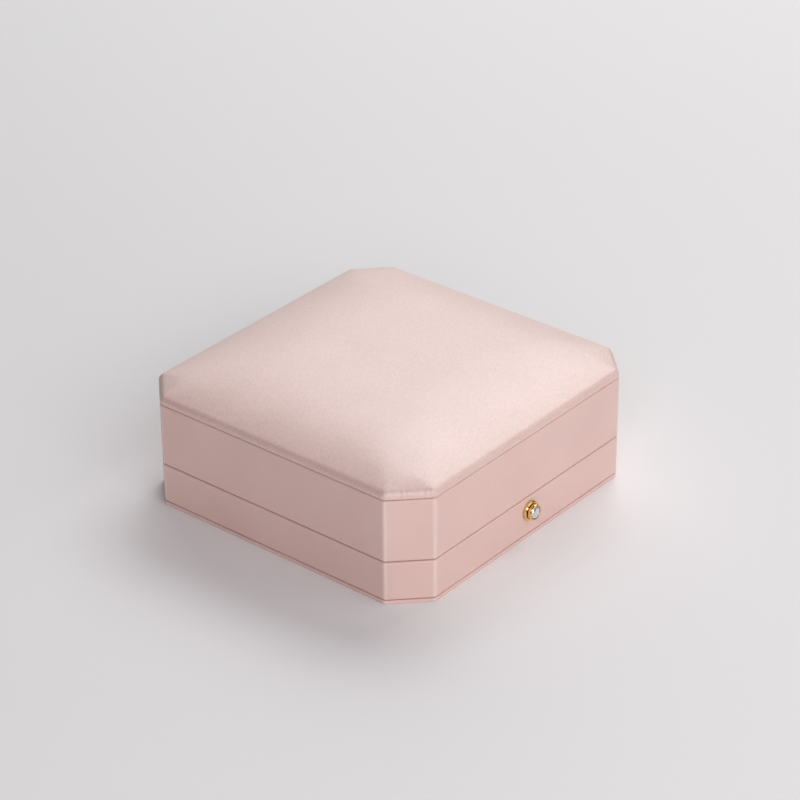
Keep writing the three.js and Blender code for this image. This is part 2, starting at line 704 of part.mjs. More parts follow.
function knuckleSpan(index) {
  const start = -HINGE_LENGTH / 2 + index * KNUCKLE_PITCH;
  return [start + KNUCKLE_GAP / 2, start + KNUCKLE_PITCH - KNUCKLE_GAP / 2];
}

// One leaf: up is 1 for the lid's leaf and -1 for the base's.
// It lies flat between the rims, turns along the wall inside, and curls round the pin.
function hingeLeaf(name, up) {
  const half = HINGE_LENGTH / 2;
  const wallY = BACK - IN_CAVITY - GAP;
  const levels = (near, far) => [SEAM_Z + up * near, SEAM_Z + up * far].sort((a, b) => a - b);
  const flatZ = levels(LEAF_HALF_GAP, LEAF_HALF_GAP + SHEET);
  const knuckleRoom = KNUCKLE_RADIUS + GAP;
  const flat = block([-half, half], [wallY - SHEET, AXIS_Y - knuckleRoom], flatZ);
  const upright = block([-half, half], [wallY - SHEET, wallY], levels(LEAF_HALF_GAP, LEAF_REACH));
  const own = [];
  for (let i = up > 0 ? 1 : 0; i < KNUCKLES; i += 2) {
    own.push(barX(KNUCKLE_RADIUS, knuckleSpan(i), AXIS_Y, SEAM_Z));
    own.push(block(knuckleSpan(i), [wallY, AXIS_Y - PIN_RADIUS], flatZ));
  }
  const bore = barX(PIN_RADIUS + PIN_CLEARANCE, [-half - 1, half + 1], AXIS_Y, SEAM_Z);
  const holes = [-HINGE_RIVET_SPREAD, HINGE_RIVET_SPREAD].map((x) =>
    barY(
      RIVET_RADIUS + RIVET_CLEARANCE,
      x,
      [wallY - SHEET - 1, wallY + 1],
      SEAM_Z + up * LEAF_RIVET_OFFSET,
      16,
    ),
  );
  return node(name, "gold", cut(join([flat, upright, ...own]), [bore, ...holes]));
}

function hingePin() {
  const half = HINGE_LENGTH / 2;
  const shaft = barX(PIN_RADIUS, [-half - PIN_HEAD, half + PIN_HEAD], AXIS_Y, SEAM_Z);
  const heads = [
    [-half - PIN_HEAD, -half - SEAT + KNUCKLE_GAP / 2],
    [half + SEAT - KNUCKLE_GAP / 2, half + PIN_HEAD],
  ].map((span) => barX(PIN_HEAD_RADIUS, span, AXIS_Y, SEAM_Z));
  return node("hinge_pin", "gold", join([shaft, ...heads]));
}

const group = new THREE.Group();
group.add(
  bottomBoard(),
  baseShell(),
  baseWrap(),
  baseLining(),
  insertBoard(),
  insertPad(),
  buttonBezel(),
  lockCase(),
  ...pair("lock_rivet", RIVET_SPREAD, LOCK_RIVET_Z, -1, "steel"),
  buttonSpring(),
  hingeLeaf("hinge_base_leaf", -1),
  hingePin(),
  ...pair("hinge_base_rivet", HINGE_RIVET_SPREAD, SEAM_Z - LEAF_RIVET_OFFSET, 1, "gold"),
  buttonPlunger(),
  buttonCrystal(),
  latchPlate(),
  latchClip(),
  lidShell(),
  lidWrap(),
  lidLining(),
  lidInnerPad(),
  topBoard(),
  topFoam(),
  topCover(),
  strikePlate(),
  ...pair("strike_rivet", RIVET_SPREAD, STRIKE_RIVET_Z, -1, "steel"),
  hingeLeaf("hinge_lid_leaf", 1),
  ...pair("hinge_lid_rivet", HINGE_RIVET_SPREAD, SEAM_Z + LEAF_RIVET_OFFSET, 1, "gold"),
);

export default group;
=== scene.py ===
"""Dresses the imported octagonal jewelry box: leatherette outside, velvet and satin inside, gilt fittings.

Metres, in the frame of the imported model: +Z up, the front wall with the button faces -Y.
"""

import logging
import math
from dataclasses import dataclass, field
from enum import Enum
from typing import Iterable, Optional, Sequence

import bmesh
import bpy
from mathutils import Matrix, Vector, noise


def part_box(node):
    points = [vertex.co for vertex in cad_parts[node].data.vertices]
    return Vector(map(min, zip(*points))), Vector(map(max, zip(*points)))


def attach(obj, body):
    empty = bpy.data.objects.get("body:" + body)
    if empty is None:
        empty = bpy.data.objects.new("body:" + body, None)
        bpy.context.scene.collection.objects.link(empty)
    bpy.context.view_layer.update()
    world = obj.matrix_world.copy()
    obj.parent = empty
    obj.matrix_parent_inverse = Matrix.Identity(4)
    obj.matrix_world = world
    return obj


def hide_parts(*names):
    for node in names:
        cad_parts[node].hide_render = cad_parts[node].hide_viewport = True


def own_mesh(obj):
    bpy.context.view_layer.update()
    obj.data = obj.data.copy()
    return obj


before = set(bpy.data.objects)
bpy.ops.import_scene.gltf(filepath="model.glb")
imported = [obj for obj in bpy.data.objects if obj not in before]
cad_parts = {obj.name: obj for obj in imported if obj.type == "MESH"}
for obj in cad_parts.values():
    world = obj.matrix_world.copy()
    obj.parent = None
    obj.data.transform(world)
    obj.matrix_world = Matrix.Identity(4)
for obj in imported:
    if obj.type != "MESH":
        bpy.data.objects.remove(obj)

LOG = logging.getLogger("jewelry_box")
MM = 0.001
TINY = 1e-6

Colour = tuple[float, float, float, float]

WHITE: Colour = (1.0, 1.0, 1.0, 1.0)

# How far the corners are set back along each wall: outside, and inside the linings.
OUTER_SETBACK = 9.5 * MM
INNER_SETBACK = 6.9 * MM

# Places of the sockets of a Mix node that mixes colours.
MIX_SHARE = 0
MIX_UNDER = 6
MIX_OVER = 7
MIX_RESULT = 2


def tone(red: float, green: float, blue: float) -> Colour:
    """Turns a display colour into the linear one that shaders take.

    Args:
        red: Red from 0 to 1, as shown on a display.
        green: Green from 0 to 1.
        blue: Blue from 0 to 1.

    Returns:
        The linear colour with full alpha.
    """
    linear = [c / 12.92 if c <= 0.04045 else ((c + 0.055) / 1.055) ** 2.4 for c in (red, green, blue)]
    return (linear[0], linear[1], linear[2], 1.0)


def shift(colour: Colour, factor: float) -> Colour:
    """Returns the colour made lighter or darker by a factor."""
    return (colour[0] * factor, colour[1] * factor, colour[2] * factor, 1.0)


# ---------------------------------------------------------------------------
# Finishes
# ---------------------------------------------------------------------------


class Swatch:
    """A material being mixed: its node tree and short calls for the nodes that the finishes share."""

    def __init__(self, name: str) -> None:
        """Starts a material with one Principled shader.

        Args:
            name: The material's name.
        """
        self.material: bpy.types.Material = bpy.data.materials.new(name)
        self.material.use_nodes = True
        self.tree: bpy.types.NodeTree = self.material.node_tree
        self.shader: bpy.types.Node = self.tree.nodes["Principled BSDF"]
        self.place: bpy.types.NodeSocket = self.node("ShaderNodeTexCoord").outputs["Object"]

    def node(self, kind: str, **settings: object) -> bpy.types.Node:
        """Adds a node.

        Args:
            kind: The node's type name.
            **settings: Properties set on the node.

        Returns:
            The new node.
        """
        made = self.tree.nodes.new(kind)
        for key, value in settings.items():
            setattr(made, key, value)
        return made

    def link(self, source: bpy.types.NodeSocket, target: bpy.types.NodeSocket) -> None:
        """Joins an output to an input."""
        self.tree.links.new(source, target)

    def set(self, **values: object) -> None:
        """Sets constant values on the shader's own sockets.

        Args:
            **values: Socket names with underscores for spaces.
        """
        for key, value in values.items():
            self.shader.inputs[key.replace("_", " ")].default_value = value

    def turned(self, degrees: float, stretch: tuple[float, float, float]) -> bpy.types.NodeSocket:
        """Turns and stretches the object's own coordinates.

        Args:
            degrees: Turn about the Z axis.
            stretch: Scale along X, Y and Z after the turn.

        Returns:
            The mapped vector.
        """
        turn = self.node("ShaderNodeMapping")
        turn.inputs["Rotation"].default_value = (0.0, 0.0, math.radians(degrees))
        self.link(self.place, turn.inputs["Vector"])
        scale = self.node("ShaderNodeMapping")
        scale.inputs["Scale"].default_value = stretch
        self.link(turn.outputs["Vector"], scale.inputs["Vector"])
        return scale.outputs["Vector"]

    def clouds(
        self,
        scale: float,
        detail: float = 2.0,
        roughness: float = 0.5,
        vector: Optional[bpy.types.NodeSocket] = None,
    ) -> bpy.types.NodeSocket:
        """Adds a noise texture.

        Args:
            scale: Features per metre.
            detail: Octaves of finer noise.
            roughness: Strength of the finer noise.
            vector: Coordinates, or the object's own when left out.

        Returns:
            The noise value, about 0.5 on average.
        """
        texture = self.node("ShaderNodeTexNoise")
        texture.inputs["Scale"].default_value = scale
        texture.inputs["Detail"].default_value = detail
        texture.inputs["Roughness"].default_value = roughness
        self.link(vector or self.place, texture.inputs["Vector"])
        return texture.outputs["Fac"]

    def blend(
        self,
        share: bpy.types.NodeSocket,
        low: Colour,
        high: Colour,
        span: tuple[float, float],
    ) -> bpy.types.NodeSocket:
        """Runs from one colour to another as a value rises.

        Args:
            share: The value.
            low: Colour at the start of the span.
            high: Colour at its end.
            span: The values between which the colour changes.

        Returns:
            The colour.
        """
        ramp = self.node("ShaderNodeValToRGB")
        ramp.color_ramp.elements[0].position = span[0]
        ramp.color_ramp.elements[0].color = low
        ramp.color_ramp.elements[1].position = span[1]
        ramp.color_ramp.elements[1].color = high
        self.link(share, ramp.inputs["Fac"])
        return ramp.outputs["Color"]

    def sums(self, parts: Sequence[tuple[bpy.types.NodeSocket, float]]) -> bpy.types.NodeSocket:
        """Adds several values, each with its weight.

        Args:
            parts: Pairs of value and weight.

        Returns:
            The weighted sum.
        """
        total: Optional[bpy.types.NodeSocket] = None
        for value, weight in parts:
            scaled = self.node("ShaderNodeMath", operation="MULTIPLY_ADD")
            scaled.inputs[1].default_value = weight
            scaled.inputs[2].default_value = 0.0
            self.link(value, scaled.inputs[0])
            if total is not None:
                self.link(total, scaled.inputs[2])
            total = scaled.outputs[0]
        return total

    def reckon(self, kind: str, value: bpy.types.NodeSocket, other: object = None) -> bpy.types.NodeSocket:
        """Does one step of arithmetic.

        Args:
            kind: The operation.
            value: Its first value.
            other: Its second value, as a socket or a number.

        Returns:
            The outcome.
        """
        step = self.node("ShaderNodeMath", operation=kind)
        self.link(value, step.inputs[0])
        if isinstance(other, float):
            step.inputs[1].default_value = other
        elif other is not None:
            self.link(other, step.inputs[1])
        return step.outputs[0]

    def ranged(
        self,
        value: bpy.types.NodeSocket,
        low: float,
        high: float,
        span: tuple[float, float] = (0.0, 1.0),
        kind: str = "LINEAR",
    ) -> bpy.types.NodeSocket:
        """Maps one span of values to another.

        Args:
            value: The value.
            low: The outcome at the start of the span.
            high: The outcome at its end.
            span: The values between which the outcome changes.
            kind: How it runs between them.

        Returns:
            The outcome.
        """
        mapped = self.node("ShaderNodeMapRange", interpolation_type=kind)
        limits = {"From Min": span[0], "From Max": span[1], "To Min": low, "To Max": high}
        for socket, limit in limits.items():
            mapped.inputs[socket].default_value = limit
        self.link(value, mapped.inputs["Value"])
        return mapped.outputs["Result"]

    def tinted(self, colour: bpy.types.NodeSocket, layer: bpy.types.NodeSocket) -> bpy.types.NodeSocket:
        """Multiplies a colour by a second one.

        Args:
            colour: The colour underneath.
            layer: The colour that multiplies it.

        Returns:
            The mixed colour.
        """
        mix = self.node("ShaderNodeMix", data_type="RGBA", blend_type="MULTIPLY")
        mix.inputs[MIX_SHARE].default_value = 1.0
        self.link(colour, mix.inputs[MIX_UNDER])
        self.link(layer, mix.inputs[MIX_OVER])
        return mix.outputs[MIX_RESULT]

    def emboss(self, layers: Sequence[tuple[bpy.types.NodeSocket, float, float]]) -> None:
        """Raises the surface by several height maps, coarse ones first.

        Args:
            layers: For each map its value, its strength and its height in metres.
        """
        normal: Optional[bpy.types.NodeSocket] = None
        for value, strength, height in layers:
            bump = self.node("ShaderNodeBump")
            bump.inputs["Strength"].default_value = strength
            bump.inputs["Distance"].default_value = height
            self.link(value, bump.inputs["Height"])
            if normal is not None:
                self.link(normal, bump.inputs["Normal"])
            normal = bump.outputs["Normal"]
        self.link(normal, self.shader.inputs["Normal"])

    def paint(self, colour: bpy.types.NodeSocket) -> bpy.types.Material:
        """Sends a colour to the shader and returns the finished material."""
        self.link(colour, self.shader.inputs["Base Color"])
        return self.material


@dataclass(frozen=True)
class Leatherette:
    """Coated cloth with a silky printed grain."""

    name: str
    colour: Colour
    roughness: float
    coat: float
    streak: float
    coat_index: float = 1.8
    grain_scale: float = 2600.0
    grain_depth: float = 0.04 * MM
    grain_reach: float = 0.14
    gloss_spread: float = 0.05
    # Strength and reach of a painted highlight along the upright edges, partly standing for stretch wear
    # there.
    edge_highlight_and_wear: float = 0.0
    highlight_start: float = 0.7 * MM
    highlight_full: float = 0.2 * MM

    def material(self) -> bpy.types.Material:
        """Mixes the leatherette.

        Returns:
            The material.
        """
        swatch = Swatch(self.name)
        swatch.set(Coat_Weight=self.coat, Coat_IOR=self.coat_index, Coat_Roughness=self.roughness)
        silk = swatch.clouds(self.grain_scale, 2.0, 0.6, swatch.turned(0.0, (0.25, 1.0, 1.0)))
        cross = swatch.clouds(self.grain_scale, 2.0, 0.6, swatch.turned(-40.0, (0.3, 1.0, 1.0)))
        pores = swatch.clouds(self.grain_scale, 2.0, 0.6)
        mottle = swatch.clouds(55.0, 3.0, 0.5)
        waves = swatch.clouds(38.0, 1.0, 0.4)
        fibres = swatch.sums([(silk, 0.42), (cross, 0.4), (pores, 0.18)])
        deep = shift(self.colour, 1.0 - self.streak)
        light = shift(self.colour, 1.0 + self.streak)
        ground = swatch.blend(fibres, deep, light, (0.5 - self.grain_reach, 0.5 + self.grain_reach))
        cast = swatch.blend(mottle, (0.965, 0.955, 0.955, 1.0), WHITE, (0.35, 0.65))
        smooth = self.roughness - self.gloss_spread
        rough = self.roughness + self.gloss_spread
        swatch.link(swatch.ranged(fibres, smooth, rough, (0.35, 0.65)), swatch.shader.inputs["Roughness"])
        swatch.emboss([(waves, 0.35, 0.1 * MM), (fibres, 0.8, self.grain_depth)])
        return swatch.paint(self.painted_edge_highlight(swatch, swatch.tinted(ground, cast)))

    def painted_edge_highlight(self, swatch: Swatch, colour: bpy.types.NodeSocket) -> bpy.types.NodeSocket:
        """Paints a highlight along the upright edges of the wall, partly standing for wear where the
        leatherette is stretched over them.

        Args:
            swatch: The material being mixed.
            colour: Its colour so far.

        Returns:
            The colour with a painted highlight along the upright edges.
        """
        if self.edge_highlight_and_wear <= 0.0:
            return colour
        low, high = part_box("base_wrap")
        half_x, half_y = (high.x - low.x) / 2, (high.y - low.y) / 2
        apart = swatch.node("ShaderNodeSeparateXYZ")
        swatch.link(swatch.place, apart.inputs["Vector"])
        x = swatch.reckon("ABSOLUTE", apart.outputs["X"])
        y = swatch.reckon("ABSOLUTE", apart.outputs["Y"])
        past_x = swatch.reckon("SUBTRACT", x, half_x)
        past_y = swatch.reckon("SUBTRACT", y, half_y)
        side = swatch.reckon("MAXIMUM", past_x, past_y)
        slant = swatch.reckon("SUBTRACT", swatch.reckon("ADD", x, y), half_x + half_y - OUTER_SETBACK)
        corner = swatch.reckon("MINIMUM", side, swatch.reckon("MULTIPLY", slant, math.sqrt(0.5)))
        # Painted highlight: a lighter stripe screened over the colour along the eight upright edges, partly
        # standing for stretch wear.
        painted_edge_highlight = swatch.ranged(corner, 0.0, 1.0, (-self.highlight_start, -self.highlight_full), "SMOOTHSTEP")
        mix = swatch.node("ShaderNodeMix", data_type="RGBA", blend_type="SCREEN")
        swatch.link(swatch.reckon("MULTIPLY", painted_edge_highlight, self.edge_highlight_and_wear), mix.inputs[MIX_SHARE])
        swatch.link(colour, mix.inputs[MIX_UNDER])
        mix.inputs[MIX_OVER].default_value = shift(self.colour, 0.9)
        return mix.outputs[MIX_RESULT]


@dataclass(frozen=True)
class Velvet:
    """Short pile that catches light at its edges."""

    name: str
    colour: Colour
    pile: float = 0.06 * MM

    def material(self) -> bpy.types.Material:
        """Mixes the velvet.

        Returns:
            The material.
        """
        swatch = Swatch(self.name)
        swatch.set(Roughness=0.95, Sheen_Weight=0.7, Sheen_Roughness=0.45, Sheen_Tint=(1.0, 0.97, 0.95, 1.0))
        nap = swatch.clouds(70.0, 3.0, 0.6)
        tufts = swatch.clouds(2400.0, 2.0, 0.7)
        ground = swatch.blend(nap, shift(self.colour, 0.94), shift(self.colour, 1.02), (0.3, 0.7))
        fleck = swatch.blend(tufts, shift(WHITE, 0.86), WHITE, (0.35, 0.62))
        swatch.emboss([(nap, 0.3, 0.3 * MM), (tufts, 0.7, self.pile)])
        return swatch.paint(swatch.tinted(ground, fleck))


@dataclass(frozen=True)
class Satin:
    """Smooth woven satin with a directional gloss."""

    name: str
    colour: Colour

    def material(self) -> bpy.types.Material:
        """Mixes the satin.

        Returns:
            The material.
        """
        swatch = Swatch(self.name)
        swatch.set(Sheen_Weight=0.3, Sheen_Roughness=0.3, Anisotropic=0.6, Roughness=0.36)
        warp = swatch.clouds(4200.0, 1.0, 0.5, swatch.turned(0.0, (0.12, 1.0, 1.0)))
        folds = swatch.clouds(45.0, 2.0, 0.5)
        ground = swatch.blend(warp, shift(self.colour, 0.965), shift(self.colour, 1.02), (0.3, 0.7))
        cast = swatch.blend(folds, shift(WHITE, 0.95), WHITE, (0.35, 0.65))
        swatch.emboss([(folds, 0.4, 0.3 * MM), (warp, 0.3, 0.01 * MM)])
        return swatch.paint(swatch.tinted(ground, cast))


@dataclass(frozen=True)
class Metal:
    """Plated or pressed metal."""

    name: str
    colour: Colour
    roughness: float
    scratches: float

    def material(self) -> bpy.types.Material:
        """Mixes the metal.

        Returns:
            The material.
        """
        swatch = Swatch(self.name)
        swatch.set(Metallic=1.0)
        hairlines = swatch.clouds(900.0, 2.0, 0.6, swatch.turned(20.0, (0.06, 1.0, 1.0)))
        smudges = swatch.clouds(300.0, 3.0, 0.6)
        ground = swatch.blend(smudges, shift(self.colour, 0.9), shift(self.colour, 1.03), (0.3, 0.7))
        gloss = swatch.ranged(smudges, self.roughness * 0.7, self.roughness * 1.4)
        swatch.link(gloss, swatch.shader.inputs["Roughness"])
        swatch.emboss([(hairlines, self.scratches, 0.01 * MM)])
        return swatch.paint(ground)


@dataclass(frozen=True)
class Crystal:
    """Clear faceted glass."""

    name: str
    colour: Colour

    def material(self) -> bpy.types.Material:
        """Mixes the crystal.

        Returns:
            The material.
        """
        swatch = Swatch(self.name)
        swatch.set(Transmission_Weight=0.45, Metallic=0.35, IOR=2.2, Roughness=0.03, Specular_IOR_Level=0.8)
        specks = swatch.clouds(1400.0, 1.0, 0.5)
        return swatch.paint(swatch.blend(specks, shift(self.colour, 0.9), self.colour, (0.3, 0.7)))


@dataclass(frozen=True)
class Board:
    """Plain moulding, fibreboard or foam: matt, with a fine tooth."""

    name: str
    colour: Colour
    roughness: float
    tooth: float
    tooth_scale: float

    def material(self) -> bpy.types.Material:
        """Mixes the board.

        Returns:
            The material.
        """
        swatch = Swatch(self.name)
        swatch.set(Roughness=self.roughness)
        fine = swatch.clouds(self.tooth_scale, 3.0, 0.6)
        broad = swatch.clouds(60.0, 2.0, 0.5)
        ground = swatch.blend(fine, shift(self.colour, 0.88), shift(self.colour, 1.05), (0.3, 0.7))
        cast = swatch.blend(broad, shift(WHITE, 0.93), WHITE, (0.3, 0.7))
        swatch.emboss([(fine, 0.5, self.tooth)])
        return swatch.paint(swatch.tinted(ground, cast))


class Finish(Enum):
    """The finishes of the box."""

    WALL = Leatherette(
        "wall_leatherette",
        tone(0.90, 0.77, 0.735),
        roughness=0.5,
        coat=0.1,
        streak=0.018,
        grain_depth=0.008 * MM,
        # Strength of the painted highlight along the upright edges, partly standing for stretch wear.
        edge_highlight_and_wear=0.36,
    )
    PAD = Leatherette("pad_leatherette", tone(0.895, 0.768, 0.733), roughness=0.46, coat=0.8, streak=0.11)
    VELVET = Velvet("pale_velvet", tone(0.93, 0.87, 0.84))
    SATIN = Satin("pale_satin", tone(0.95, 0.90, 0.87))
    GILT = Metal("gilt", tone(0.96, 0.82, 0.54), 0.1, 0.1)
    STEEL = Metal("zinc_plated_steel", tone(0.76, 0.77, 0.78), 0.3, 0.3)
    CRYSTAL = Crystal("clear_crystal", tone(0.98, 0.99, 1.0))
    MOULDING = Board("moulding", tone(0.84, 0.80, 0.77), 0.6, 0.01 * MM, 1500.0)
    FIBREBOARD = Board("fibreboard", tone(0.72, 0.66, 0.60), 0.9, 0.03 * MM, 1200.0)
    FOAM = Board("foam", tone(0.95, 0.93, 0.89), 0.95, 0.08 * MM, 900.0)


class Wardrobe:
    """Makes each finish once and puts it on pieces."""

    def __init__(self) -> None:
        """Starts with nothing made."""
        self.made: dict[Finish, bpy.types.Material] = {}

    def get(self, finish: Finish) -> bpy.types.Material:
        """Looks up the material of a finish, and makes it on first use.

        Args:
            finish: The finish.

        Returns:
            Its material.
        """
        if finish not in self.made:
            self.made[finish] = finish.value.material()
        return self.made[finish]

    def dress(self, piece: bpy.types.Object, finish: Finish) -> None:
        """Gives every material slot of a piece one finish.

        Args:
            piece: The piece.
            finish: Its finish.
        """
        material = self.get(finish)
        if not piece.data.materials:
            piece.data.materials.append(material)
        for index in range(len(piece.material_slots)):
            piece.material_slots[index].material = material

    def dress_nodes(self, names: Iterable[str], finish: Finish) -> None:
        """Gives several nodes of the frame one finish.

        Args:
            names: Names of the nodes.
            finish: Their finish.
        """
        for name in names:
            self.dress(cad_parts[name], finish)
            LOG.info("%s: %s", name, finish.value.name)


# ---------------------------------------------------------------------------
# Stuffed panels
# ---------------------------------------------------------------------------


def deselect_all() -> None:
    """Deselects every object."""
    for piece in bpy.context.selected_objects:
        piece.select_set(False)


def make_active(piece: bpy.types.Object) -> None:
    """Selects one object alone and makes it active.

    Args:
        piece: The object.
    """
    deselect_all()
    piece.select_set(True)
    bpy.context.view_layer.objects.active = piece


def select_open_edges(piece: bpy.types.Object) -> None:
    """Selects the edges of a piece that have a face on one side only.

    Args:
        piece: The piece, in edit mode.
    """
    bpy.ops.mesh.select_mode(type="EDGE")
    mesh = bmesh.from_edit_mesh(piece.data)
    for edge in mesh.edges:
        edge.select = edge.is_boundary
    bmesh.update_edit_mesh(piece.data)


def toward(azimuth: float, elevation: float) -> Vector:
    """Returns the unit vector from the box towards a place round it.

    Args:
        azimuth: Compass direction in degrees: 0 at the front, 90 to the right (+X).
        elevation: Height above the floor, in degrees.

    Returns:
        The direction.
    """
    a, e = math.radians(azimuth), math.radians(elevation)
    return Vector((math.sin(a) * math.cos(e), -math.cos(a) * math.cos(e), math.sin(e)))


class Side(Enum):
    """Which way a stuffed panel swells."""

    UP = 1
    DOWN = -1


@dataclass
class StuffedPanel:
    """An octagonal cushion glued to a board: flat back, rounded rim, swollen face.

    Attributes:
        name: Name of the finished piece.
        node: Frame node that it stands for.
        body: Body that it rides on.
        finish: Its finish.
        slot: The record's material slot; not used.
        fill: How tightly it is stuffed; not used.
        side: Which way it swells.
        chamfer: Setback of its corners at the outline.
        rim: Radius of its rounded rim.
        foot: Height of the upright edge under the rim.
        run: Distance over which the face rises.
        fullness: How much sooner the face rises near its rim than further in.
        notch: Half width and depth of a cut-out in the middle of the front edge.
        pitch: Size of the mesh's squares.
        pleats: Depth of the gathers over the corners.
        start_slope: Slope of the face where the rounded rim takes over.
        cloth_share: Share of the swelling that the cloth simulation shapes; a set curve shapes the rest.
        rim_steps: Number of steps round the rim.
        stuffing_frames: Length of the cloth simulation.
        half_x: Half its width.
        half_y: Half its depth.
        crown: Height of the face's middle above the back.
        middle: Middle of its node's box.
        back_z: Height of its back.
    """

    name: str
    node: str
    body: str
    finish: Finish
    slot: str
    fill: float
    side: Side
    chamfer: float
    rim: float
    foot: float
    run: float
    fullness: float = 2.0
    notch: Optional[tuple[float, float]] = None
    pitch: float = 1.0 * MM
    pleats: float = 0.0
    start_slope: float = 0.3
    cloth_share: float = 0.12
    rim_steps: int = 6
    stuffing_frames: int = 14
    half_x: float = field(init=False, default=0.0)
    half_y: float = field(init=False, default=0.0)
    crown: float = field(init=False, default=0.0)
    middle: Vector = field(init=False, default_factory=Vector)
    back_z: float = field(init=False, default=0.0)

    def __post_init__(self) -> None:
        """Takes the panel's place and size from its node."""
        low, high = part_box(self.node)
        self.half_x = (high.x - low.x) / 2
        self.half_y = (high.y - low.y) / 2
        self.crown = high.z - low.z
        self.middle = (low + high) / 2
        self.back_z = low.z if self.side is Side.UP else high.z

    def build(self, wardrobe: Wardrobe) -> bpy.types.Object:
        """Makes the panel and puts it in place of its node.

        Args:
            wardrobe: Where its finish comes from.

        Returns:
            The finished piece.
        """
        piece = self.face_sheet()
        self.turn_rim(piece)
        self.swell(piece)
        self.settle(piece)
        wardrobe.dress(piece, self.finish)
        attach(piece, self.body)
        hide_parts(self.node)
        LOG.info("%s: %d faces", self.name, len(piece.data.polygons))
        return piece

    def rim_width(self) -> float:
        """Returns how far the rounded rim reaches in from the outline."""
        return self.rim * (1.0 - math.sin(math.atan(self.start_slope)))

    def face_level(self) -> float:
        """Returns the height of the flat face above the back."""
        return self.foot + self.rim * math.cos(math.atan(self.start_slope))

    def corner_reach(self) -> float:
        """Returns the distance from the middle to the cut corners."""
        return (self.half_x + self.half_y - self.chamfer) / math.sqrt(2)

    def face_sheet(self) -> bpy.types.Object:
        """Lays out the flat face as a grid with its corners cut off.

        Returns:
            The sheet, a rim's width inside the outline.
        """
        inset = self.rim_width()
        wide = 2 * (self.half_x - inset)
        deep = 2 * (self.half_y - inset)
        deselect_all()
        bpy.ops.mesh.primitive_grid_add(
            x_subdivisions=round(wide / self.pitch),
            y_subdivisions=round(deep / self.pitch),
            size=1.0,
            location=(0.0, 0.0, 0.0),
        )
        piece = bpy.context.object
        piece.name = self.name
        piece.data.name = self.name
        bpy.ops.object.mode_set(mode="EDIT")
        bpy.ops.mesh.select_all(action="SELECT")
        bpy.ops.transform.resize(value=(wide, deep, 1.0))
        level = self.face_level()
        bpy.ops.transform.translate(value=(self.middle.x, self.middle.y, level))
        reach = self.corner_reach() - inset
        for sx in (-1, 1):
            for sy in (-1, 1):
                away = Vector((sx, sy, 0.0)).normalized()
                at = Vector((self.middle.x, self.middle.y, level)) + away * reach
                bpy.ops.mesh.select_all(action="SELECT")
                bpy.ops.mesh.bisect(plane_co=at, plane_no=away, clear_outer=True, threshold=TINY)
        if self.notch:
            self.cut_notch(level)
        bpy.ops.mesh.select_all(action="SELECT")
        bpy.ops.mesh.remove_doubles(threshold=self.pitch * 0.12)
        bpy.ops.object.mode_set(mode="OBJECT")
        self.round_corners(piece)
        return piece

    def cut_notch(self, level: float) -> None:
        """Cuts a rectangle out of the middle of the front edge.

        Args:
            level: Height of the sheet.
        """
        half, depth = self.notch
        inner = self.middle.y - self.half_y + depth + self.rim_width()
        outer = half + self.rim_width()
        cuts = (
            ((1, 0, 0), (outer, 0, level)),
            ((-1, 0, 0), (-outer, 0, level)),
            ((0, 1, 0), (0, inner, level)),
        )
        for away, at in cuts:
            bpy.ops.mesh.select_all(action="SELECT")
            bpy.ops.mesh.bisect(plane_co=at, plane_no=away, threshold=TINY)
        mesh = bmesh.from_edit_mesh(bpy.context.edit_object.data)
        for face in mesh.faces:
            middle = face.calc_center_median()
            face.select = abs(middle.x) < outer and middle.y < inner
        bmesh.update_edit_mesh(bpy.context.edit_object.data)
        bpy.ops.mesh.delete(type="FACE")

    def round_corners(self, piece: bpy.types.Object) -> None:
        """Rounds the corners of the sheet's outline.

        Args:
            piece: The sheet.
        """
        make_active(piece)
        bpy.ops.object.mode_set(mode="EDIT")
        mesh = bmesh.from_edit_mesh(piece.data)
        straightest = math.radians(160)
        for vertex in mesh.verts:
            edges = [edge.other_vert(vertex).co - vertex.co for edge in vertex.link_edges if edge.is_boundary]
            vertex.select = len(edges) == 2 and edges[0].angle(edges[1]) < straightest
        mesh.select_flush(False)
        bmesh.update_edit_mesh(piece.data)
        bpy.ops.mesh.bevel(affect="VERTICES", offset=self.pitch * 0.35, segments=3, profile=0.5)
        bpy.ops.object.mode_set(mode="OBJECT")

    def rim_path(self) -> list[tuple[float, float]]:
        """Traces the rim from the sheet's edge round to a little way under the back.

        Returns:
            The steps outward and down.
        """
        start = math.atan(self.start_slope)
        fold = min(0.22 * MM, self.foot * 0.4)
        tuck = 0.8 * MM
        marks: list[tuple[float, float]] = [(0.0, 0.0)]
        for step in range(1, self.rim_steps + 1):
            angle = start + (math.pi / 2 - start) * step / self.rim_steps
            out = self.rim * (math.sin(angle) - math.sin(start))
            drop = self.rim * (math.cos(start) - math.cos(angle))
            marks.append((out, drop))
        edge, fall = marks[-1]
        back = fall + self.foot
        marks.append((edge, back - fold))
        marks.append((edge - fold * 0.3, back - fold * 0.3))
        marks.append((edge - fold, back))
        marks.append((edge - fold - tuck, back))
        return [(after[0] - before[0], after[1] - before[1]) for before, after in zip(marks, marks[1:])]

    def turn_rim(self, piece: bpy.types.Object) -> None:
        """Extrudes the sheet's edge round the rim and a little way under the back.

        Args:
            piece: The sheet.
        """
        make_active(piece)
        bpy.ops.object.mode_set(mode="EDIT")
        select_open_edges(piece)
        for out, drop in self.rim_path():
            bpy.ops.mesh.extrude_edges_move(TRANSFORM_OT_translate={"value": (0.0, 0.0, -drop)})
            self.push_edge(piece, out)
        bpy.ops.mesh.select_mode(type="VERT")
        bpy.ops.object.mode_set(mode="OBJECT")

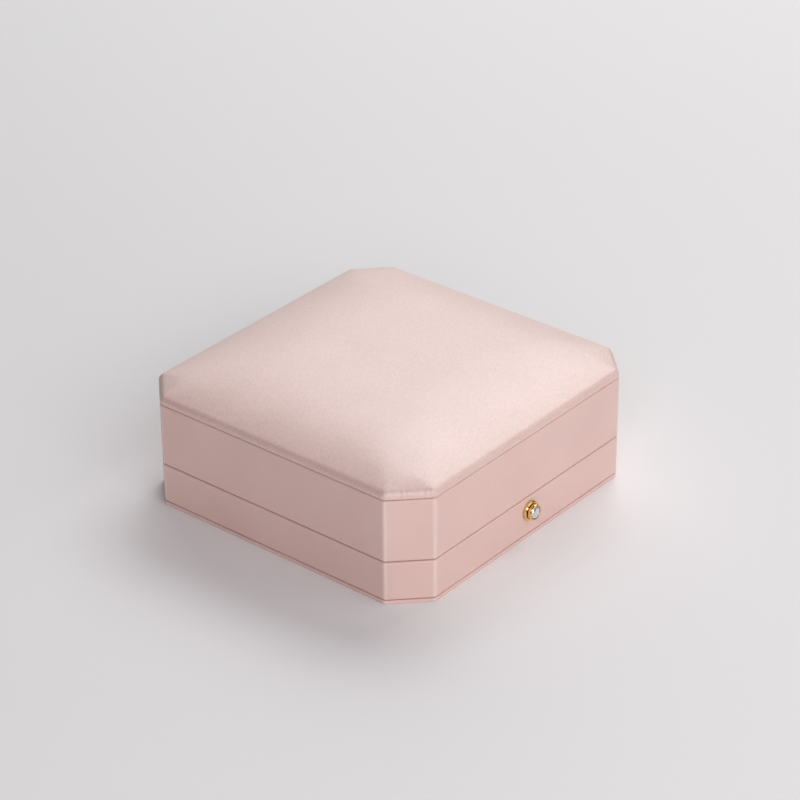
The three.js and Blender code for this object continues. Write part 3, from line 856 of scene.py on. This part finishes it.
    def close_back(self, piece: bpy.types.Object) -> None:
        """Closes the back with one flat face and turns every face outward.

        Args:
            piece: The panel, finished but for its back.
        """
        make_active(piece)
        bpy.ops.object.mode_set(mode="EDIT")
        select_open_edges(piece)
        bpy.ops.mesh.edge_face_add()
        bpy.ops.mesh.select_all(action="SELECT")
        bpy.ops.mesh.normals_make_consistent(inside=False)
        bpy.ops.mesh.select_mode(type="VERT")
        bpy.ops.object.mode_set(mode="OBJECT")

    def push_edge(self, piece: bpy.types.Object, out: float) -> None:
        """Moves the selected edge loop square to itself, in plan.

        Args:
            piece: The panel in edit mode.
            out: Distance outward, or inward when negative.
        """
        mesh = bmesh.from_edit_mesh(piece.data)
        moves: dict[bmesh.types.BMVert, Vector] = {}
        for vertex in (v for v in mesh.verts if v.select):
            squares: list[Vector] = []
            for edge in (e for e in vertex.link_edges if e.select):
                along = (edge.verts[1].co - edge.verts[0].co).to_2d().normalized()
                square = Vector((along.y, -along.x))
                squares.append(square * self.outward(edge, square))
            if len(squares) == 2:
                mean = (squares[0] + squares[1]).normalized()
                miter = 1.0 / max(0.5, mean.dot(squares[0]))
                moves[vertex] = Vector((mean.x, mean.y, 0.0)) * (out * miter)
        for vertex, move in moves.items():
            vertex.co += move
        bmesh.update_edit_mesh(piece.data)

    def outward(self, edge: bmesh.types.BMEdge, square: Vector) -> float:
        """Tells whether a direction points away from the panel.

        Args:
            edge: An edge of the outline.
            square: A direction square to it.

        Returns:
            1 if it points away from the panel, or -1.
        """
        middle = (edge.verts[0].co + edge.verts[1].co).to_2d() / 2
        if self.notch:
            half, depth = self.notch
            front = self.middle.y - self.half_y
            margin = 2.5 * self.rim
            if abs(middle.x) < half + margin and middle.y < front + depth + margin:
                if abs(square.x) > 0.9:
                    return 1.0 if square.x * middle.x < 0 else -1.0
                if middle.y > front + depth * 0.5:
                    return 1.0 if square.y < 0 else -1.0
        away = middle - self.middle.to_2d()
        return 1.0 if square.dot(away) > 0 else -1.0

    def rise(self, x: float, y: float) -> float:
        """Returns the share of the crown that the stuffing reaches at a place.

        Args:
            x: Place along X.
            y: Place along Y.

        Returns:
            0 at the sheet's edge up to 1 in the middle.
        """
        inset = self.rim_width()
        dx = self.half_x - inset - abs(x - self.middle.x)
        dy = self.half_y - inset - abs(y - self.middle.y)
        dc = self.corner_reach() - inset - (abs(x - self.middle.x) + abs(y - self.middle.y)) / math.sqrt(2)
        gaps = [dx, dy, dc]
        if self.notch:
            half, depth = self.notch
            nx = abs(x) - half - inset
            ny = y - (self.middle.y - self.half_y + depth + inset)
            gaps.append(max(nx, ny))
        nearest = max(0.0, self.soft_least(gaps))
        part = max(0.0, 1.0 - nearest / self.run)
        return 1.0 - part**self.fullness

    def soft_least(self, gaps: Sequence[float]) -> float:
        """Returns the least of several distances, rounded off where two are alike.

        Args:
            gaps: The distances.

        Returns:
            A distance no greater than the least.
        """
        blend = max(TINY, min(self.run * 0.3, 0.7 * min(gaps)))
        least = gaps[0]
        for gap in gaps[1:]:
            near = max(0.0, blend - abs(gap - least)) / blend
            least = min(gap, least) - near * near * blend / 4
        return least

    def swell(self, piece: bpy.types.Object) -> None:
        """Raises the face to its crown, mostly along a set curve.

        Cloth under pressure gives a small share of the shape.

        Args:
            piece: The flat panel.
        """
        level = self.face_level()
        gain = self.crown - level
        least_rise = 0.01
        flat = [vertex.co.copy() for vertex in piece.data.vertices]
        pinned = piece.vertex_groups.new(name="glued")
        held = [i for i, co in enumerate(flat) if co.z < level - TINY or self.rise(co.x, co.y) < least_rise]
        pinned.add(held, 1.0, "REPLACE")
        inflated = self.inflate(piece, pinned.name)
        tallest = max(co.z - level for co in inflated)
        for vertex, start, full in zip(piece.data.vertices, flat, inflated):
            share = self.rise(start.x, start.y)
            if start.z < level - TINY or share <= 0.0:
                vertex.co = start
                continue
            pull = (full.z - level) / tallest if tallest > TINY else share
            taut = share * (1.0 - self.cloth_share + self.cloth_share * pull)
            vertex.co = Vector((start.x, start.y, level + gain * taut))
        piece.vertex_groups.remove(pinned)

    def inflate(self, piece: bpy.types.Object, pins: str) -> list[Vector]:
        """Blows the panel up as cloth and returns where its points come to.

        Args:
            piece: The flat panel.
            pins: Vertex group that stays where it is.

        Returns:
            The places of the vertices after the simulation.
        """
        make_active(piece)
        cloth = piece.modifiers.new("stuffing", "CLOTH")
        settings = cloth.settings
        settings.quality = 4
        settings.mass = 0.2
        settings.tension_stiffness = 12.0
        settings.compression_stiffness = 12.0
        settings.shear_stiffness = 6.0
        settings.bending_stiffness = 0.6
        settings.vertex_group_mass = pins
        settings.use_pressure = True
        settings.uniform_pressure_force = 4.0
        settings.effector_weights.gravity = 0.0
        cloth.collision_settings.use_collision = False
        cloth.point_cache.frame_start = 1
        cloth.point_cache.frame_end = self.stuffing_frames
        scene = bpy.context.scene
        for step in range(1, self.stuffing_frames + 1):
            scene.frame_set(step)
        held = piece.evaluated_get(bpy.context.evaluated_depsgraph_get())
        places = [vertex.co.copy() for vertex in held.data.vertices]
        piece.modifiers.remove(cloth)
        scene.frame_set(1)
        return places

    def settle(self, piece: bpy.types.Object) -> None:
        """Smooths the panel, gathers its corners and moves it onto its board.

        Args:
            piece: The swollen panel.
        """
        make_active(piece)
        finer = piece.modifiers.new("finer", "SUBSURF")
        finer.levels = 1
        finer.render_levels = 1
        bpy.ops.object.modifier_apply(modifier=finer.name)
        if self.pleats > 0.0:
            self.gather(piece)
        self.close_back(piece)
        flip = self.side is Side.DOWN
        for vertex in piece.data.vertices:
            vertex.co.z = self.back_z - vertex.co.z if flip else self.back_z + vertex.co.z
        if flip:
            piece.data.flip_normals()
        bpy.ops.object.shade_smooth()

    def gather(self, piece: bpy.types.Object) -> None:
        """Draws the skin into small pleats where it is folded over the corners.

        Args:
            piece: The panel, its back at height 0.
        """
        reach = self.corner_reach()
        span = self.chamfer / math.sqrt(2)
        spacing = 1.6 * MM
        drift_length = 3.0 * MM
        furthest_in = 4.0 * MM
        deepest_at = 0.5 * MM
        fade = 1.1 * MM
        for vertex in piece.data.vertices:
            x = vertex.co.x - self.middle.x
            y = vertex.co.y - self.middle.y
            gap = reach - (abs(x) + abs(y)) / math.sqrt(2)
            along = (abs(x) - abs(y)) / math.sqrt(2) - (self.half_x - self.half_y) / math.sqrt(2)
            if gap > furthest_in or abs(along) > span or vertex.co.z < self.foot * 0.6:
                continue
            corner = (1 if x > 0 else 0) + (2 if y > 0 else 0)
            drift = noise.noise(Vector((along / drift_length, corner * 7.3, 0.0)))
            wave = math.sin(2 * math.pi * (along / spacing + 0.55 * drift))
            near = math.exp(-(((gap - deepest_at) / fade) ** 2))
            middle = 1.0 - (abs(along) / span) ** 4
            away = Vector((math.copysign(1.0, x), math.copysign(1.0, y), 0.9)).normalized()
            vertex.co += away * (self.pleats * wave * near * middle * (0.7 + 0.6 * drift))


# ---------------------------------------------------------------------------
# The box's sub-assemblies
# ---------------------------------------------------------------------------


@dataclass
class Lid:
    """The lid: wrapped wall, padded top, satin pad, lining, shell, board and foam."""

    body: str = "lid"
    top_foot: float = 0.35 * MM
    top_rim: float = 2.1 * MM
    top_run: float = 31.0 * MM
    top_fullness: float = 3.05
    top_slope: float = 0.4
    pleat_depth: float = 0.1 * MM
    inner_rim: float = 0.9 * MM
    inner_foot: float = 0.7 * MM
    inner_run: float = 16.0 * MM

    def build(self, wardrobe: Wardrobe) -> None:
        """Makes the soft pieces and dresses the rest.

        Args:
            wardrobe: Where the finishes come from.
        """
        StuffedPanel(
            name="padded_top",
            node="top_cover",
            body=self.body,
            finish=Finish.PAD,
            slot="padded_leatherette",
            fill=0.8,
            side=Side.UP,
            chamfer=OUTER_SETBACK,
            rim=self.top_rim,
            foot=self.top_foot,
            run=self.top_run,
            fullness=self.top_fullness,
            start_slope=self.top_slope,
            pleats=self.pleat_depth,
        ).build(wardrobe)
        StuffedPanel(
            name="satin_pad",
            node="lid_inner_pad",
            body=self.body,
            finish=Finish.SATIN,
            slot="satin",
            fill=0.6,
            side=Side.DOWN,
            chamfer=INNER_SETBACK,
            rim=self.inner_rim,
            foot=self.inner_foot,
            run=self.inner_run,
            pitch=1.5 * MM,
        ).build(wardrobe)
        wardrobe.dress_nodes(["lid_wrap"], Finish.WALL)
        wardrobe.dress_nodes(["lid_lining"], Finish.VELVET)
        wardrobe.dress_nodes(["lid_shell"], Finish.MOULDING)
        wardrobe.dress_nodes(["top_board"], Finish.FIBREBOARD)
        wardrobe.dress_nodes(["top_foam"], Finish.FOAM)


@dataclass
class Base:
    """The base: wrapped wall and bottom board, lining, and the velvet insert."""

    body: str = "base"
    insert_rim: float = 0.9 * MM
    insert_foot: float = 1.5 * MM
    insert_run: float = 16.0 * MM
    notch_half: float = 9.3 * MM
    notch_margin: float = 0.3 * MM

    def build(self, wardrobe: Wardrobe) -> None:
        """Makes the insert and dresses the rest.

        Args:
            wardrobe: Where the finishes come from.
        """
        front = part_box("insert_pad")[0].y
        case_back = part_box("lock_case")[1].y
        StuffedPanel(
            name="velvet_insert",
            node="insert_pad",
            body=self.body,
            finish=Finish.VELVET,
            slot="velvet",
            fill=0.6,
            side=Side.UP,
            chamfer=INNER_SETBACK,
            rim=self.insert_rim,
            foot=self.insert_foot,
            run=self.insert_run,
            notch=(self.notch_half, case_back + self.notch_margin - front),
            pitch=1.5 * MM,
        ).build(wardrobe)
        wardrobe.dress_nodes(["base_wrap", "bottom_board"], Finish.WALL)
        wardrobe.dress_nodes(["base_lining"], Finish.VELVET)
        wardrobe.dress_nodes(["base_shell"], Finish.MOULDING)
        wardrobe.dress_nodes(["insert_board"], Finish.FIBREBOARD)


@dataclass
class Fittings:
    """The metal: push button, latch, hinge and rivets."""

    gilt: Sequence[str] = (
        "button_bezel",
        "button_plunger",
        "hinge_base_leaf",
        "hinge_lid_leaf",
        "hinge_pin",
        "hinge_base_rivet_left",
        "hinge_base_rivet_right",
        "hinge_lid_rivet_left",
        "hinge_lid_rivet_right",
    )
    steel: Sequence[str] = (
        "lock_case",
        "lock_rivet_left",
        "lock_rivet_right",
        "latch_plate",
        "latch_clip",
        "strike_plate",
        "strike_rivet_left",
        "strike_rivet_right",
    )
    travel: float = 1.0 * MM

    def coil(self, wardrobe: Wardrobe) -> None:
        """Makes the return spring from a merged, smooth-shaded copy of the frame's spring.

        Args:
            wardrobe: Where its finish comes from.
        """
        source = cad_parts["button_spring"]
        mesh = source.data.copy()
        mesh.transform(source.matrix_world)
        piece = bpy.data.objects.new("return_spring", mesh)
        bpy.context.scene.collection.objects.link(piece)
        make_active(piece)
        bpy.ops.object.mode_set(mode="EDIT")
        bpy.ops.mesh.select_all(action="SELECT")
        bpy.ops.mesh.remove_doubles(threshold=0.001 * MM)
        bpy.ops.mesh.normals_make_consistent(inside=False)
        bpy.ops.object.mode_set(mode="OBJECT")
        bpy.ops.object.shade_smooth_by_angle(angle=math.radians(60))
        wardrobe.dress(piece, Finish.STEEL)
        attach(piece, "base")
        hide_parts("button_spring")
        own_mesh(piece)
        LOG.info("%s: %d faces", piece.name, len(mesh.polygons))

    def build(self, wardrobe: Wardrobe) -> None:
        """Dresses the metal and the crystal, and makes the spring.

        Args:
            wardrobe: Where the finishes come from.
        """
        wardrobe.dress_nodes(self.gilt, Finish.GILT)
        wardrobe.dress_nodes(self.steel, Finish.STEEL)
        wardrobe.dress_nodes(["button_crystal"], Finish.CRYSTAL)
        self.coil(wardrobe)


# ---------------------------------------------------------------------------
# Studio
# ---------------------------------------------------------------------------


@dataclass(frozen=True)
class SoftBox:
    """A rectangular studio light aimed at the box.

    Attributes:
        name: Its name.
        azimuth: Compass direction that it stands in: 0 at the front, 90 to the right (+X).
        elevation: Its height as an angle.
        distance: From the box, in metres.
        size: Width and height of its face, in metres.
        power: In watts.
        colour: Its colour.
    """

    name: str
    azimuth: float
    elevation: float
    distance: float
    size: tuple[float, float]
    power: float
    colour: tuple[float, float, float] = (1.0, 1.0, 1.0)

    def place(self, target: Vector) -> None:
        """Adds the light.

        Args:
            target: The point that it is aimed at.
        """
        away = toward(self.azimuth, self.elevation)
        lamp = bpy.data.lights.new(self.name, "AREA")
        lamp.shape = "RECTANGLE"
        lamp.size, lamp.size_y = self.size
        lamp.energy = self.power
        lamp.color = self.colour
        holder = bpy.data.objects.new(self.name, lamp)
        bpy.context.scene.collection.objects.link(holder)
        holder.location = target + away * self.distance
        holder.rotation_euler = away.to_track_quat("Z", "Y").to_euler()


@dataclass
class Studio:
    """Pale floor, soft lights and the camera."""

    azimuth: float = -50.389
    elevation: float = 29.998
    roll: float = -0.37
    aside: float = 2.8 * MM
    above: float = 21.9 * MM
    distance: float = 812.24 * MM
    lens: float = 129.91
    floor_size: float = 12.0
    floor_colour: Colour = tone(0.93, 0.925, 0.925)
    sky: Colour = tone(0.93, 0.93, 0.94)
    sky_strength: float = 0.04
    light_height: float = 20.0 * MM
    lights: Sequence[SoftBox] = (
        SoftBox("key_high", 104.0, 52.0, 1.3, (1.0, 0.5), 5.2),
        SoftBox("key_low", 106.0, 40.0, 1.3, (0.9, 0.4), 2.2),
        SoftBox("back_glow", 130.0, 35.0, 1.3, (1.1, 0.7), 3.0),
        SoftBox("back_low", 131.0, 13.0, 2.0, (1.85, 0.6), 3.6),
        SoftBox("front", 0.0, 42.0, 1.3, (0.8, 0.9), 2.8),
        SoftBox("front_low", -20.0, 22.0, 1.3, (0.7, 0.7), 3.7),
        SoftBox("side", -52.0, 32.0, 1.3, (0.7, 0.7), 5.7, (1.0, 0.945, 1.01)),
        SoftBox("right", 39.0, 36.0, 1.3, (0.8, 0.8), 2.0),
    )

    def build(self) -> None:
        """Sets up the floor, the lights and the camera."""
        self.lay_floor()
        self.light()
        self.aim_camera()

    def lay_floor(self) -> None:
        """Lays the floor with its own material."""
        deselect_all()
        bpy.ops.mesh.primitive_plane_add(size=self.floor_size, location=(0.0, 0.0, 0.0))
        floor = bpy.context.object
        floor.name = "studio_floor"
        swatch = Swatch("studio_floor")
        swatch.set(Roughness=0.75, Specular_IOR_Level=0.2)
        drift = swatch.clouds(1.2, 1.0, 0.4)
        dim = shift(self.floor_colour, 0.99)
        light = shift(self.floor_colour, 1.01)
        colour = swatch.blend(drift, dim, light, (0.3, 0.7))
        floor.data.materials.append(swatch.paint(colour))

    def light(self) -> None:
        """Sets the sky and the soft boxes."""
        scene = bpy.context.scene
        world = bpy.data.worlds.new("studio")
        scene.world = world
        world.use_nodes = True
        sky = world.node_tree.nodes["Background"]
        sky.inputs["Color"].default_value = self.sky
        sky.inputs["Strength"].default_value = self.sky_strength
        scene.view_settings.view_transform = "Standard"
        target = Vector((0.0, 0.0, self.light_height))
        for box in self.lights:
            box.place(target)

    def aim_camera(self) -> None:
        """Puts the camera where it looks down on the front left corner."""
        a, r = math.radians(self.azimuth), math.radians(self.roll)
        back = toward(self.azimuth, self.elevation)
        level = Vector((math.cos(a), math.sin(a), 0.0))
        upright = back.cross(level)
        right = level * math.cos(r) + upright * math.sin(r)
        up = upright * math.cos(r) - level * math.sin(r)
        lens = bpy.data.cameras.new("camera")
        lens.lens = self.lens
        lens.sensor_width = 36.0
        lens.clip_start = 0.01
        lens.clip_end = 50.0
        camera = bpy.data.objects.new("camera", lens)
        bpy.context.scene.collection.objects.link(camera)
        place = right * self.aside + up * self.above + back * self.distance
        turn = Matrix((right, up, back)).transposed().to_4x4()
        camera.matrix_world = Matrix.Translation(place) @ turn
        bpy.context.scene.camera = camera


def main() -> None:
    """Builds the box's soft pieces, dresses it and sets up the studio."""
    logging.basicConfig(level=logging.INFO, format="%(name)s: %(message)s")
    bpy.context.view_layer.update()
    wardrobe = Wardrobe()
    Studio().build()
    Lid().build(wardrobe)
    Base().build(wardrobe)
    Fittings().build(wardrobe)


if __name__ == "__main__":
    main()
